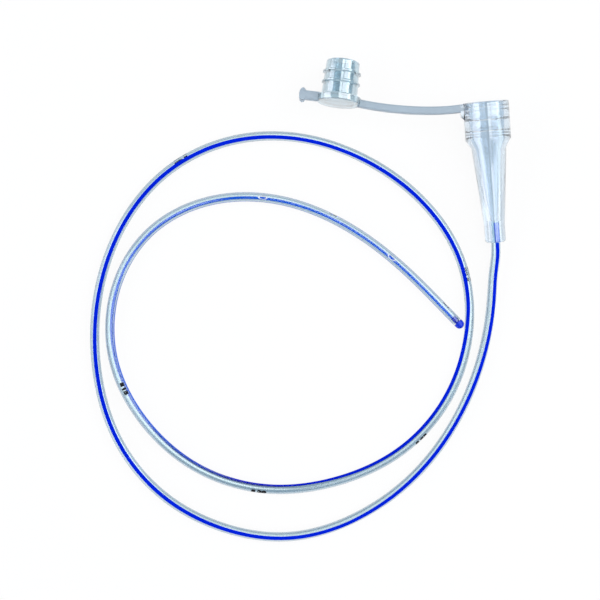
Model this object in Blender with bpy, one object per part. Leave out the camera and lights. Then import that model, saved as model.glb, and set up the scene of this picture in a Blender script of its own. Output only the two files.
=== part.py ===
"""A gastric feeding tube in a loose flat coil, with its funnel connector and tethered stopper.

Everything lies on the table plane z = 0. +Z is up, +Y runs along the funnel towards its mouth, and the
origin is on the table under the middle of the connector and stopper. All lengths are in metres.
"""

import math

import bmesh
import bpy
import numpy as np
from mathutils import Matrix, Vector
from mathutils.geometry import interpolate_bezier

# Feeding tube: 8 French, soft clear PVC with one open end and four side eyes
TUBE_DIAMETER = 0.00267
TUBE_BORE = 0.0017
TUBE_SIDES = 12
TUBE_RINGS = 80
EYE_LENGTH = 0.0028
EYE_WIDTH = 0.0013
EYE_COUNT = 4
FIRST_EYE_FROM_TIP = 0.0079
EYE_PITCH = 0.0206
EYE_SEGMENTS = 12
EYE_TURNS = (math.radians(90.0), 0.0)

# Closed blue tip, its spigot held in the tube's bore
TIP_STRAIGHT = 0.0007
SPIGOT_LENGTH = 0.0020
TIP_SIDES = 16
DOME_STEPS = 5

# Seats between the tube, its tip and the funnel's socket
END_GAP = 0.0003
SEAT_CLEARANCE = 0.00012

# Funnel connector, measured along its axis from the mouth
COLLAR_DIAMETER = 0.0130
COLLAR_LENGTH = 0.0106
SHOULDER_LENGTH = 0.0024
CONE_TOP_DIAMETER = 0.0099
CONE_LENGTH = 0.0217
TAIL_DIAMETER = 0.0060
TAIL_LENGTH = 0.0053
TAIL_ROUNDING = 0.0008
MOUTH_BORE = 0.0104
MOUTH_EDGE = 0.0003
COLLAR_BORE_TAPER = 0.0005
CONE_WALL = 0.00135
SOCKET_DEPTH = 0.0063
SNAP_RIDGE_PLACES = (0.0048, 0.0078)
SNAP_RIDGE_HEIGHT = 0.00025
SNAP_RIDGE_WIDTH = 0.0007
TURNED_SIDES = 32
ROUNDING_STEPS = 4

# Stopper, measured along its axis from the closed face of its flange
FLANGE_DIAMETER = 0.0125
FLANGE_THICKNESS = 0.0021
FLANGE_ROUNDING = 0.0004
FLANGE_ROUNDING_STEPS = 3
PLUG_HEIGHT = 0.0101
PLUG_CLEARANCE = 0.00005
PLUG_DRAFT = 0.0004
NOSE_ROUNDING = 0.0005
RIB_PLACES = (0.0037, 0.0067)
RIB_SQUEEZE = 0.00025
RIB_WIDTH = 0.0010
RIB_CREST_WIDTH = 0.00033
CAVITY_DIAMETER = 0.0070
CAVITY_FLOOR = 0.0004
CAVITY_DRAFT = 0.0003

# Strap between the funnel's collar and the flange, and the finger tab opposite it. Its places are measured
# from the flange's closed face and from the mouth.
STRAP_THICKNESS = 0.0021
STRAP_WIDTH = 0.0035
STRAP_EDGE = 0.0004
STRAP_ROOT = 0.0008
STRAP_START = 0.0008
STRAP_END = 0.0013
STRAP_REACH = 0.0085
STRAP_LEAVING_ANGLE = math.radians(-18.0)
STRAP_ARRIVING_ANGLE = math.radians(7.0)
STRAP_STEPS = 10
LUG_START = 0.0002
LUG_LENGTH = 0.0037
LUG_STAND = 0.0008
TAB_PLACE = 0.0013
TAB_LENGTH = 0.0051
TAB_THICKNESS = 0.0025
TAB_BEAD_THICKNESS = 0.0020
TAB_BEAD_LENGTH = 0.0035
TAB_BEAD_SIDES = 16

# Where the connector lies: mouth centre and stopper's flange centre seen from above
MOUTH_X, MOUTH_Y = 0.0229, 0.0120
FUNNEL_TURN = math.radians(179.7)
FLANGE_X, FLANGE_Y = -0.0185, 0.0149
STOPPER_TURN = math.radians(11.5)

# Colour and roughness of the three plastics
MOULDING_COLOUR, MOULDING_ROUGHNESS = (0.72, 0.80, 0.88), 0.25
TUBE_COLOUR, TUBE_ROUGHNESS = (0.80, 0.90, 0.96), 0.2
TIP_COLOUR, TIP_ROUGHNESS = (0.02, 0.06, 0.75), 0.3

# Mesh settings
SPLINE_POINTS = 4000
MERGE_DISTANCE = 1e-6
SHARP_ANGLE = math.radians(35.0)

# The tube's way over the table from the funnel's tail to its tip, seen from above
ROUTE = (
    (0.0229, -0.0312), (0.0219, -0.0362), (0.0210, -0.0422), (0.0198, -0.0490),
    (0.0174, -0.0578), (0.0087, -0.0761), (-0.0045, -0.0916), (-0.0219, -0.1024),
    (-0.0418, -0.1068), (-0.0615, -0.1025), (-0.0783, -0.0913), (-0.0894, -0.0744),
    (-0.0934, -0.0546), (-0.0915, -0.0344), (-0.0838, -0.0158), (-0.0702, -0.0009),
    (-0.0516, 0.0071), (-0.0314, 0.0069), (-0.0125, -0.0007), (0.0030, -0.0139),
    (0.0128, -0.0318), (0.0136, -0.0520), (0.0062, -0.0707), (-0.0084, -0.0849),
    (-0.0274, -0.0921), (-0.0476, -0.0927), (-0.0666, -0.0854), (-0.0808, -0.0712),
    (-0.0884, -0.0527), (-0.0864, -0.0328), (-0.0750, -0.0167), (-0.0569, -0.0092),
    (-0.0369, -0.0108), (-0.0186, -0.0198), (-0.0034, -0.0332), (0.0098, -0.0487),
    (0.0119, -0.0512),
)

TUBE_RADIUS = TUBE_DIAMETER / 2
BORE_RADIUS = TUBE_BORE / 2
SOCKET_RADIUS = TUBE_RADIUS + SEAT_CLEARANCE
SPIGOT_RADIUS = BORE_RADIUS - SEAT_CLEARANCE
TIP_LENGTH = TIP_STRAIGHT + TUBE_RADIUS
PUNCH_STOP = BORE_RADIUS / 4

COLLAR_RADIUS = COLLAR_DIAMETER / 2
CONE_TOP_RADIUS = CONE_TOP_DIAMETER / 2
TAIL_RADIUS = TAIL_DIAMETER / 2
MOUTH_RADIUS = MOUTH_BORE / 2
CONE_START = COLLAR_LENGTH + SHOULDER_LENGTH
TAIL_START = CONE_START + CONE_LENGTH
FUNNEL_LENGTH = TAIL_START + TAIL_LENGTH
SOCKET_START = FUNNEL_LENGTH - SOCKET_DEPTH

FLANGE_RADIUS = FLANGE_DIAMETER / 2
PLUG_RADIUS = MOUTH_RADIUS - PLUG_CLEARANCE
RIB_RADIUS = MOUTH_RADIUS + RIB_SQUEEZE
CAVITY_RADIUS = CAVITY_DIAMETER / 2
STOPPER_LENGTH = FLANGE_THICKNESS + PLUG_HEIGHT


def clear_scene():
    """Start from an empty scene."""
    for obj in list(bpy.data.objects):
        bpy.data.objects.remove(obj, do_unlink=True)


def material(name, colour, roughness):
    """A plain plastic."""
    made = bpy.data.materials.new(name)
    made.use_nodes = True
    shader = made.node_tree.nodes["Principled BSDF"]
    shader.inputs["Base Color"].default_value = (*colour, 1.0)
    shader.inputs["Roughness"].default_value = roughness
    shader.inputs["Metallic"].default_value = 0.0
    made.diffuse_color = (*colour, 1.0)
    return made


def finish_mesh(bm, name):
    """Turn a bmesh into an object in the scene, with its faces pointing out."""
    bmesh.ops.recalc_face_normals(bm, faces=bm.faces)
    mesh = bpy.data.meshes.new(name)
    bm.to_mesh(mesh)
    bm.free()
    obj = bpy.data.objects.new(name, mesh)
    bpy.context.collection.objects.link(obj)
    return obj


def shade(obj, surface):
    """Smooth shading that keeps the real edges sharp."""
    obj.data.materials.clear()
    obj.data.materials.append(surface)
    obj.data.shade_smooth()
    obj.data.set_sharp_from_angle(angle=SHARP_ANGLE)


def combine(target, tools, operation):
    """Apply one Boolean after another to the target and remove the tools."""
    for tool in tools:
        step = target.modifiers.new(tool.name, "BOOLEAN")
        step.solver = "EXACT"
        step.operation = operation
        step.object = tool
    evaluated = target.evaluated_get(bpy.context.evaluated_depsgraph_get())
    mesh = bpy.data.meshes.new_from_object(evaluated)
    target.modifiers.clear()
    target.data = mesh
    for tool in tools:
        bpy.data.objects.remove(tool, do_unlink=True)


def quarter(radius, height, rounding, start, steps=ROUNDING_STEPS):
    """Profile points of a quarter-round edge about its own centre, from a start angle in degrees."""
    angles = [math.radians(start + 90.0 * i / steps) for i in range(steps + 1)]
    return [(radius + rounding * math.cos(a), height + rounding * math.sin(a)) for a in angles]


def turned(name, profile, closed, sides):
    """A solid turned about its own Z axis from (radius, height) points."""
    bm = bmesh.new()
    verts = [bm.verts.new((radius, 0.0, height)) for radius, height in profile]
    edges = [bm.edges.new(pair) for pair in zip(verts, verts[1:])]
    if closed:
        edges.append(bm.edges.new((verts[-1], verts[0])))
    bmesh.ops.spin(
        bm, geom=verts + edges, cent=(0, 0, 0), axis=(0, 0, 1), angle=math.tau, steps=sides
    )
    bmesh.ops.remove_doubles(bm, verts=bm.verts, dist=MERGE_DISTANCE)
    return finish_mesh(bm, name)


def ring(bm, centre, side, up, section):
    """The vertices of one cross-section."""
    return [bm.verts.new(centre + side * across + up * over) for across, over in section]


def skin(bm, rings):
    """Quads between each ring and the next."""
    for one, two in zip(rings, rings[1:]):
        for i in range(len(one)):
            bm.faces.new((one[i - 1], one[i], two[i], two[i - 1]))


def frames(path):
    """The centre, sideways and upward direction at each point of a path that stays nearly level."""
    ends = [path[0], *path, path[-1]]
    for before, here, after in zip(ends, path, ends[2:]):
        ahead = (after - before).normalized()
        side = ahead.cross(Vector((0, 0, 1))).normalized()
        yield here, side, side.cross(ahead)


def circle(radius, sides):
    """A round cross-section with a corner straight down."""
    angles = [math.tau * i / sides - math.pi / 2 for i in range(sides)]
    return [(radius * math.cos(a), radius * math.sin(a)) for a in angles]


def smooth_curve(points):
    """Points evenly spaced along the natural cubic spline through the given ones."""
    points = np.array(points)
    gaps = np.linalg.norm(np.diff(points, axis=0), axis=1)
    knots = np.concatenate(([0.0], np.cumsum(gaps)))
    size = len(points)
    matrix, target = np.eye(size), np.zeros(points.shape)
    for i in range(1, size - 1):
        matrix[i, i - 1:i + 2] = gaps[i - 1], 2 * (gaps[i - 1] + gaps[i]), gaps[i]
        slope_after = (points[i + 1] - points[i]) / gaps[i]
        slope_before = (points[i] - points[i - 1]) / gaps[i - 1]
        target[i] = 6 * (slope_after - slope_before)
    bend = np.linalg.solve(matrix, target)
    at = np.linspace(0.0, knots[-1], SPLINE_POINTS)
    i = np.clip(np.searchsorted(knots, at) - 1, 0, size - 2)
    gap = gaps[i][:, None]
    done, left = (at - knots[i])[:, None], (knots[i + 1] - at)[:, None]
    curve = (bend[i] * left**3 + bend[i + 1] * done**3) / (6 * gap)
    curve += (points[i] / gap - bend[i] * gap / 6) * left
    curve += (points[i + 1] / gap - bend[i + 1] * gap / 6) * done
    return curve


def distances(curve):
    """How far along a curve each of its points lies."""
    steps = np.linalg.norm(np.diff(curve, axis=0), axis=1)
    return np.concatenate(([0.0], np.cumsum(steps)))


def resting_height(profile, tilt):
    """How high a turned piece's start lies when its lowest points touch the table."""
    return max(r * math.cos(tilt) + along * math.sin(tilt) for r, along in profile)


def lying(x, y, height, turn, tilt):
    """Lays a turned piece down: its +Z heads from +Y towards +X by the turn and falls by the tilt."""
    level = Vector((math.sin(turn), math.cos(turn), 0.0)) * math.cos(tilt)
    axis = level - Vector((0.0, 0.0, math.sin(tilt)))
    side = Vector((math.cos(turn), -math.sin(turn), 0.0))
    turned_over = Matrix((side, axis.cross(side), axis)).transposed().to_4x4()
    return Matrix.Translation((x, y, height)) @ turned_over


def funnel_outside():
    """The funnel's outer profile from the mouth to the end of its tail."""
    return [
        (COLLAR_RADIUS - MOUTH_EDGE, 0.0),
        (COLLAR_RADIUS, MOUTH_EDGE),
        (COLLAR_RADIUS, COLLAR_LENGTH),
        (CONE_TOP_RADIUS, CONE_START),
        (TAIL_RADIUS, TAIL_START),
        *quarter(TAIL_RADIUS - TAIL_ROUNDING, FUNNEL_LENGTH - TAIL_ROUNDING, TAIL_ROUNDING, 0.0),
    ]


def snap_ridge(place):
    """One raised ring inside the collar, which a rib of the stopper slips behind."""
    wall = MOUTH_RADIUS - COLLAR_BORE_TAPER * place / COLLAR_LENGTH
    half = SNAP_RIDGE_WIDTH / 2
    return [(wall, place + half), (wall - SNAP_RIDGE_HEIGHT, place), (wall, place - half)]


def funnel_inside():
    """The bore's profile from the socket's end back to the mouth."""
    collar_bore = MOUTH_RADIUS - COLLAR_BORE_TAPER
    cone_bore = CONE_TOP_RADIUS - CONE_WALL
    points = [
        (SOCKET_RADIUS, FUNNEL_LENGTH),
        (SOCKET_RADIUS, SOCKET_START),
        (BORE_RADIUS, SOCKET_START),
        (cone_bore, CONE_START),
        (collar_bore, COLLAR_LENGTH),
    ]
    for place in reversed(SNAP_RIDGE_PLACES):
        points += snap_ridge(place)
    points += [(MOUTH_RADIUS, MOUTH_EDGE), (MOUTH_RADIUS + MOUTH_EDGE, 0.0)]
    return points


def rib(place):
    """One soft sealing rib round the plug."""
    at = FLANGE_THICKNESS + place
    wall = PLUG_RADIUS - PLUG_DRAFT * place / PLUG_HEIGHT
    half = RIB_WIDTH / 2
    crest = RIB_CREST_WIDTH / 2
    return [(wall, at - half), (RIB_RADIUS, at - crest), (RIB_RADIUS, at + crest), (wall, at + half)]


def stopper_profile():
    """The stopper from the middle of its closed face, round the plug and down to the cavity's floor."""
    nose = PLUG_RADIUS - PLUG_DRAFT
    points = [(0.0, 0.0)]
    edge = FLANGE_RADIUS - FLANGE_ROUNDING
    for height, start in ((FLANGE_ROUNDING, -90.0), (FLANGE_THICKNESS - FLANGE_ROUNDING, 0.0)):
        points += quarter(edge, height, FLANGE_ROUNDING, start, FLANGE_ROUNDING_STEPS)
    points.append((PLUG_RADIUS, FLANGE_THICKNESS))
    for place in RIB_PLACES:
        points += rib(place)
    points += quarter(nose - NOSE_ROUNDING, STOPPER_LENGTH - NOSE_ROUNDING, NOSE_ROUNDING, 0.0)
    points += [
        (CAVITY_RADIUS, STOPPER_LENGTH),
        (CAVITY_RADIUS - CAVITY_DRAFT, FLANGE_THICKNESS + CAVITY_FLOOR),
        (0.0, FLANGE_THICKNESS + CAVITY_FLOOR),
    ]
    return points


def funnel_place():
    """The funnel rests on its collar and its tail, with the mouth tipped slightly up."""
    tail_end = FUNNEL_LENGTH - TAIL_ROUNDING
    tilt = math.atan2(COLLAR_RADIUS - TAIL_RADIUS, tail_end - COLLAR_LENGTH)
    height = resting_height(funnel_outside(), tilt)
    return lying(MOUTH_X, MOUTH_Y, height, FUNNEL_TURN, tilt), tilt


def stopper_place():
    """The stopper rests on its flange and its farther rib."""
    flange_back = FLANGE_THICKNESS - FLANGE_ROUNDING
    far_rib = FLANGE_THICKNESS + RIB_PLACES[-1] + RIB_CREST_WIDTH / 2
    tilt = math.atan2(FLANGE_RADIUS - RIB_RADIUS, far_rib - flange_back)
    height = resting_height(stopper_profile(), tilt)
    return lying(FLANGE_X, FLANGE_Y, height, STOPPER_TURN, tilt)


def bar_section(thickness):
    """A cross-section of the strap's width and a given thickness, with its corners cut."""
    across, over = thickness / 2, STRAP_WIDTH / 2
    near, low = across - STRAP_EDGE, over - STRAP_EDGE
    return [
        (across, -low), (across, low), (near, over), (-near, over),
        (-across, low), (-across, -low), (-near, -over), (near, -over),
    ]


def closed_skin(bm, rings, name):
    """A solid through some cross-sections, flat at both ends."""
    skin(bm, rings)
    bm.faces.new(rings[0])
    bm.faces.new(rings[-1])
    return finish_mesh(bm, name)


def flat_bar(name, path, thickness):
    """A bar along a level path, as wide upwards as the strap."""
    bm = bmesh.new()
    rings = [ring(bm, *frame, bar_section(thickness)) for frame in frames(path)]
    return closed_skin(bm, rings, name)


def strap(funnel, stopper):
    """The strap bends in the table's plane from the flange's edge to the collar's lug."""
    start = stopper @ Vector((FLANGE_RADIUS - STRAP_ROOT, 0.0, STRAP_START))
    end = funnel @ Vector((COLLAR_RADIUS - STRAP_ROOT, 0.0, STRAP_END))
    leave = Vector((math.cos(STRAP_LEAVING_ANGLE), math.sin(STRAP_LEAVING_ANGLE), 0.0))
    arrive = Vector((math.cos(STRAP_ARRIVING_ANGLE), math.sin(STRAP_ARRIVING_ANGLE), 0.0))
    path = interpolate_bezier(
        start, start + leave * STRAP_REACH, end - arrive * STRAP_REACH, end, STRAP_STEPS
    )
    return flat_bar("strap", path, STRAP_THICKNESS)


def lug(funnel):
    """The pad on the collar that the strap grows out of, with a far end that slopes at 45 degrees."""
    _, up, axis = (column.to_3d() for column in funnel.col[:3])
    bm = bmesh.new()
    rings = []
    for stand in (-STRAP_ROOT, LUG_STAND):
        length = LUG_LENGTH + LUG_STAND - stand
        middle = funnel @ Vector((COLLAR_RADIUS + stand, 0.0, LUG_START + length / 2))
        rings.append(ring(bm, middle, axis, up, bar_section(length)))
    return closed_skin(bm, rings, "lug")


def tab(stopper):
    """The finger tab on the far side of the flange, with an upright oval bead across its end."""
    root = Vector((STRAP_ROOT - FLANGE_RADIUS, 0.0, TAB_PLACE))
    end = Vector((TAB_BEAD_THICKNESS / 2 - FLANGE_RADIUS - TAB_LENGTH, 0.0, TAB_PLACE))
    neck = flat_bar("tab_neck", [stopper @ root, stopper @ end], TAB_THICKNESS)
    bm = bmesh.new()
    bmesh.ops.create_cone(
        bm, cap_ends=True, segments=TAB_BEAD_SIDES, radius1=0.5, radius2=0.5, depth=1.0
    )
    bmesh.ops.scale(bm, verts=bm.verts, vec=(TAB_BEAD_THICKNESS, TAB_BEAD_LENGTH, STRAP_WIDTH))
    upright = Matrix.Translation(end) @ Matrix.Rotation(math.pi / 2, 4, "X")
    bmesh.ops.transform(bm, verts=bm.verts, matrix=stopper @ upright)
    return [neck, finish_mesh(bm, "tab_bead")]


def funnel_connector(surface):
    """One moulding: the funnel, the strap, the stopper and its tab."""
    place, _ = funnel_place()
    stopper = stopper_place()
    funnel = turned("funnel_connector", funnel_outside() + funnel_inside(), True, TURNED_SIDES)
    funnel.data.transform(place)
    plug = turned("stopper", stopper_profile(), False, TURNED_SIDES)
    plug.data.transform(stopper)
    combine(funnel, [lug(place), strap(place, stopper), plug, *tab(stopper)], "UNION")
    shade(funnel, surface)


def tube_line():
    """Points along the middle of the tube, from its end in the socket to the tip."""
    place, tilt = funnel_place()
    start = place @ Vector((0.0, 0.0, SOCKET_START + END_GAP))
    exit_point = place @ Vector((0.0, 0.0, FUNNEL_LENGTH))
    seat = start.lerp(exit_point, 0.5)
    plan = smooth_curve([start.xy, seat.xy, exit_point.xy, *ROUTE])
    run = distances(plan) - (exit_point - start).xy.length
    # A parabola leaves the funnel at its tilt and meets the table flat
    drop = exit_point.z - TUBE_RADIUS
    landing = 2 * drop / math.tan(tilt)
    falling = TUBE_RADIUS + drop * np.clip(1 - run / landing, 0.0, None)**2
    straight = exit_point.z - run * math.tan(tilt)
    height = np.where(run < 0.0, straight, falling)
    return np.column_stack((plan, height))


def along(line, places):
    """The points of a line at some distances along it."""
    run = distances(line)
    return [Vector(p) for p in zip(*(np.interp(places, run, axis) for axis in line.T))]


def eye_cutter(line, place, turn):
    """An oval punch through one wall of the tube, turned from the top towards the left-hand side."""
    centre, ahead = along(line, [place, place + EYE_WIDTH])
    ahead = (ahead - centre).normalized()
    side = ahead.cross(Vector((0, 0, 1))).normalized()
    outward = Matrix.Rotation(-turn, 3, ahead) @ side.cross(ahead)
    frame = Matrix((ahead, outward.cross(ahead), outward)).transposed().to_4x4()
    bm = bmesh.new()
    bmesh.ops.create_cone(
        bm, cap_ends=True, segments=EYE_SEGMENTS, radius1=0.5, radius2=0.5, depth=TUBE_DIAMETER
    )
    bmesh.ops.scale(bm, verts=bm.verts, vec=(EYE_LENGTH, EYE_WIDTH, 1.0))
    lift = Matrix.Translation(outward * (TUBE_RADIUS + PUNCH_STOP))
    bmesh.ops.transform(bm, verts=bm.verts, matrix=lift @ Matrix.Translation(centre) @ frame)
    return finish_mesh(bm, "eye_cutter")


def feeding_tube(line, surface):
    """The extruded tube, open into the funnel, with four eyes punched turn about in the top and side."""
    total = distances(line)[-1]
    path = along(line, np.linspace(0.0, total - TIP_LENGTH - END_GAP, TUBE_RINGS))
    bm = bmesh.new()
    outside = [ring(bm, *frame, circle(TUBE_RADIUS, TUBE_SIDES)) for frame in frames(path)]
    inside = [ring(bm, *frame, circle(BORE_RADIUS, TUBE_SIDES)) for frame in frames(path)]
    skin(bm, outside)
    skin(bm, inside)
    skin(bm, (outside[0], inside[0]))
    skin(bm, (outside[-1], inside[-1]))
    tube = finish_mesh(bm, "feeding_tube")
    eyes = []
    for i in range(EYE_COUNT):
        place = total - FIRST_EYE_FROM_TIP - i * EYE_PITCH
        eyes.append(eye_cutter(line, place, EYE_TURNS[i % len(EYE_TURNS)]))
    combine(tube, eyes, "DIFFERENCE")
    shade(tube, surface)


def closed_tip(line, surface):
    """The rounded blue end, bonded into the bore by a short spigot."""
    dome = quarter(0.0, TIP_STRAIGHT, TUBE_RADIUS, 0.0, DOME_STEPS)
    dome[-1] = (0.0, TIP_LENGTH)
    profile = [(0.0, -SPIGOT_LENGTH), (SPIGOT_RADIUS, -SPIGOT_LENGTH), (SPIGOT_RADIUS, 0.0)]
    profile += [(TUBE_RADIUS, 0.0), *dome]
    tip = turned("closed_tip", profile, False, TIP_SIDES)
    total = distances(line)[-1]
    shoulder, end = along(line, [total - TIP_LENGTH, total])
    ahead = (end - shoulder).normalized()
    turn = Vector((0, 0, 1)).rotation_difference(ahead).to_matrix().to_4x4()
    tip.data.transform(Matrix.Translation(shoulder) @ turn)
    shade(tip, surface)


def build():
    """Make the three pieces."""
    clear_scene()
    line = tube_line()
    funnel_connector(material("soft_pvc_moulding", MOULDING_COLOUR, MOULDING_ROUGHNESS))
    feeding_tube(line, material("clear_pvc_tube", TUBE_COLOUR, TUBE_ROUGHNESS))
    closed_tip(line, material("blue_pvc", TIP_COLOUR, TIP_ROUGHNESS))


build()
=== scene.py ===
"""Looks of a gastric feeding tube that lies in a loose flat coil, with its funnel connector and stopper.

Lengths are in metres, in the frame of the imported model: the table is z = 0 and +Z is up.
"""

import math

import bmesh
import bpy
import numpy as np
from mathutils import Matrix, Vector
from mathutils.geometry import interpolate_bezier


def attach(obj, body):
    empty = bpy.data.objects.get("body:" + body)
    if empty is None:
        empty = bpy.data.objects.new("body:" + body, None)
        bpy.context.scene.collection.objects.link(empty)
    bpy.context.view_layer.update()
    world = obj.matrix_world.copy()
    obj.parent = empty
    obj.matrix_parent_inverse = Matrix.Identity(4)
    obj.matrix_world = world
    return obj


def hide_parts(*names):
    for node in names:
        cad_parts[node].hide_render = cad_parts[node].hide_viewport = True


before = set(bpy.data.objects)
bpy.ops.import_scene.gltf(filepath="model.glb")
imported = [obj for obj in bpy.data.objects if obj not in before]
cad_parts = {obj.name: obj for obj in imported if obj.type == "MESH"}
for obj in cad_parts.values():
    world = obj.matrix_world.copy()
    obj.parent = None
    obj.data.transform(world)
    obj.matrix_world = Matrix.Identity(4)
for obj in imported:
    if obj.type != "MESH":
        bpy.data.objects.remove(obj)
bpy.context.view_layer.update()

# Camera: straight above the table, turned a little about the view line
CAMERA_PLACE = (-0.03385, -0.03961, 0.475)
CAMERA_TURN = math.radians(-4.66)
CAMERA_ANGLE = math.radians(20.54)
CAMERA_NEAR = 0.01

# Feeding tube and its closed tip
TUBE_RADIUS = 0.001335
BORE_RADIUS = 0.00085
TUBE_SIDES = 40
RING_STEP = 0.0016
EYE_LENGTH = 0.0028
EYE_WIDTH = 0.0013
EYE_COUNT = 4
FIRST_EYE_FROM_TIP = 0.0079
EYE_PITCH = 0.0206
EYE_SEGMENTS = 32
EYE_TURNS = (math.radians(90.0), 0.0)
PUNCH_STOP = BORE_RADIUS / 4
EYE_BEVEL = 0.35
TIP_STRAIGHT = 0.0007
TIP_LENGTH = TIP_STRAIGHT + TUBE_RADIUS
TIP_SIDES = 40
SPIGOT_LENGTH = 0.0020
END_GAP = 0.0003
SEAT_CLEARANCE = 0.00012

# Blue line in the tube's wall
LINE_INNER = 0.00095
LINE_OUTER = 0.00129
LINE_FLUSH = 0.001338
LINE_SEATED = 0.00145
LINE_STEPS = 12
# Its painted light where it runs underneath or sits in the socket: a lighter colour and a painted glow
PAINTED_SUNK_BLUE = (0.0, 0.07, 0.5)
PAINTED_SUNK_GLOW = (0.0, 0.24, 1.4)
# By the cosine of its angle from the top: where it sinks under the surface, and half its width in degrees
LINE_SINKS = (-0.5, -0.2)
LINE_HALF_ANGLES = ((-0.97, 26.0), (-0.85, 44.0), (-0.2, 40.0), (0.4, 36.0), (0.9, 24.0))
# Its angle from the top, towards the coil's outside, by distance from the tip
LINE_TURNS = (
    (0.000, -168.0), (0.050, -176.0), (0.069, -168.0), (0.094, -163.0), (0.119, -165.0),
    (0.132, -142.0), (0.144, -128.0), (0.157, -122.0), (0.170, -115.0), (0.194, -103.0),
    (0.207, -95.0), (0.219, -84.0), (0.232, -70.0), (0.270, -56.0), (0.282, -46.0),
    (0.294, -20.0), (0.307, -13.0), (0.332, -13.0), (0.355, -22.0), (0.372, -22.0),
    (0.394, -12.0), (0.444, -12.0), (0.470, -4.0), (0.507, 0.0), (0.550, 12.0),
    (0.569, 23.0), (0.594, 11.0), (0.619, 16.0), (0.644, 33.0), (0.657, 26.0),
    (0.665, 12.0), (0.675, 10.0),
)

# Painted shade: grey bands along the tube's sides
PAINTED_LIGHT_AND_SHADE_NAME = "shade"
PAINTED_SHADE_TINT = (0.42, 0.48, 0.56)
# By the line's angle from the top, how far the middle of the bands leans towards the line
PAINTED_SHADE_LEANS = ((0.0, 0.0), (60.0, 47.0), (85.0, 55.0), (130.0, 30.0), (180.0, 0.0))
# By the angle from that middle, how dark the painted shade makes the wall
PAINTED_WALL_SHADES = ((0.0, 0.0), (45.0, 0.0), (58.0, 1.0), (120.0, 1.0), (135.0, 0.0), (180.0, 0.0))

# Printed depth marks, each a square and a number: distance from the tip, number, angle from the top
MARKS = (
    (0.1512, "15", -12.0), (0.2011, "20", 45.0), (0.2506, "25", 72.0), (0.3008, "30", 140.0),
    (0.4006, "40", 140.0),
)
MARK_HEIGHT = 0.00128
MARK_SQUARE = 0.00115
MARK_GAP = 0.0005
MARK_STRETCH = 1.5
MARK_RISE = 0.000012
MARK_WEIGHT = 0.1
MARK_SPACING = 1.15
MARK_SLICES = 10

# Funnel, measured along its axis from the mouth
COLLAR_RADIUS = 0.0065
COLLAR_LENGTH = 0.0106
CONE_START = 0.0130
CONE_TOP_RADIUS = 0.00495
TAIL_RADIUS = 0.0030
TAIL_START = 0.0347
FUNNEL_LENGTH = 0.0400
TAIL_ROUNDING = 0.0008
MOUTH_RADIUS = 0.0052
MOUTH_EDGE = 0.0003
COLLAR_BORE_TAPER = 0.0005
CONE_WALL = 0.00135
SOCKET_START = 0.0337
SOCKET_DEPTH = 0.0060
SOCKET_RADIUS = TUBE_RADIUS + SEAT_CLEARANCE
TURNED_SIDES = 96
ROUNDING_STEPS = 8
# Raised rings inside the collar: place, height and width of each
RIDGES = (
    (0.0013, 0.00008, 0.0003), (0.0023, 0.00008, 0.0003), (0.0048, 0.00025, 0.0007),
    (0.0078, 0.00025, 0.0007), (0.0086, 0.00008, 0.0003), (0.0093, 0.00008, 0.0003),
)

# Stopper, measured along its axis from the closed face of its flange
FLANGE_RADIUS = 0.00625
FLANGE_THICKNESS = 0.0021
FLANGE_ROUNDING = 0.0004
PLUG_HEIGHT = 0.0101
PLUG_RADIUS = 0.00515
PLUG_DRAFT = 0.0004
NOSE_ROUNDING = 0.0005
RIB_PLACES = (0.0037, 0.0067)
RIB_RADIUS = 0.00545
RIB_WIDTH = 0.0010
RIB_CREST_WIDTH = 0.00033
CAVITY_RADIUS = 0.0035
CAVITY_FLOOR = 0.0004
CAVITY_DRAFT = 0.0003
STOPPER_LENGTH = FLANGE_THICKNESS + PLUG_HEIGHT

# Strap, the pad on the collar and the finger tab
STRAP_THICKNESS = 0.0021
STRAP_WIDTH = 0.0035
STRAP_EDGE = 0.0004
STRAP_ROOT = 0.0008
STRAP_START = 0.0008
STRAP_END = 0.0013
STRAP_REACH = 0.0085
STRAP_LEAVING_ANGLE = math.radians(-18.0)
STRAP_ARRIVING_ANGLE = math.radians(7.0)
STRAP_STEPS = 40
LUG_START = 0.0002
LUG_LENGTH = 0.0037
LUG_STAND = 0.0008
TAB_PLACE = 0.0013
TAB_LENGTH = 0.0051
TAB_THICKNESS = 0.0025
TAB_BEAD_THICKNESS = 0.0020
TAB_BEAD_LENGTH = 0.0035
TAB_BEAD_SIDES = 32
EDGE_STEPS = 4

# Where the connector lies, seen from above
MOUTH_X, MOUTH_Y = 0.0229, 0.0120
FUNNEL_TURN = math.radians(179.7)
FLANGE_X, FLANGE_Y = -0.0185, 0.0149
STOPPER_TURN = math.radians(11.5)

# The tube's way over the table from the funnel's tail to its tip, seen from above
ROUTE = (
    (0.0229, -0.0312), (0.0219, -0.0362), (0.0210, -0.0422), (0.0198, -0.0490),
    (0.0174, -0.0578), (0.0087, -0.0761), (-0.0045, -0.0916), (-0.0219, -0.1024),
    (-0.0418, -0.1068), (-0.0615, -0.1025), (-0.0783, -0.0913), (-0.0894, -0.0744),
    (-0.0934, -0.0546), (-0.0915, -0.0344), (-0.0838, -0.0158), (-0.0702, -0.0009),
    (-0.0516, 0.0071), (-0.0314, 0.0069), (-0.0125, -0.0007), (0.0030, -0.0139),
    (0.0128, -0.0318), (0.0136, -0.0520), (0.0062, -0.0707), (-0.0084, -0.0849),
    (-0.0274, -0.0921), (-0.0476, -0.0927), (-0.0666, -0.0854), (-0.0808, -0.0712),
    (-0.0884, -0.0527), (-0.0864, -0.0328), (-0.0750, -0.0167), (-0.0569, -0.0092),
    (-0.0369, -0.0108), (-0.0186, -0.0198), (-0.0034, -0.0332), (0.0098, -0.0487),
    (0.0119, -0.0512),
)

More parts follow.
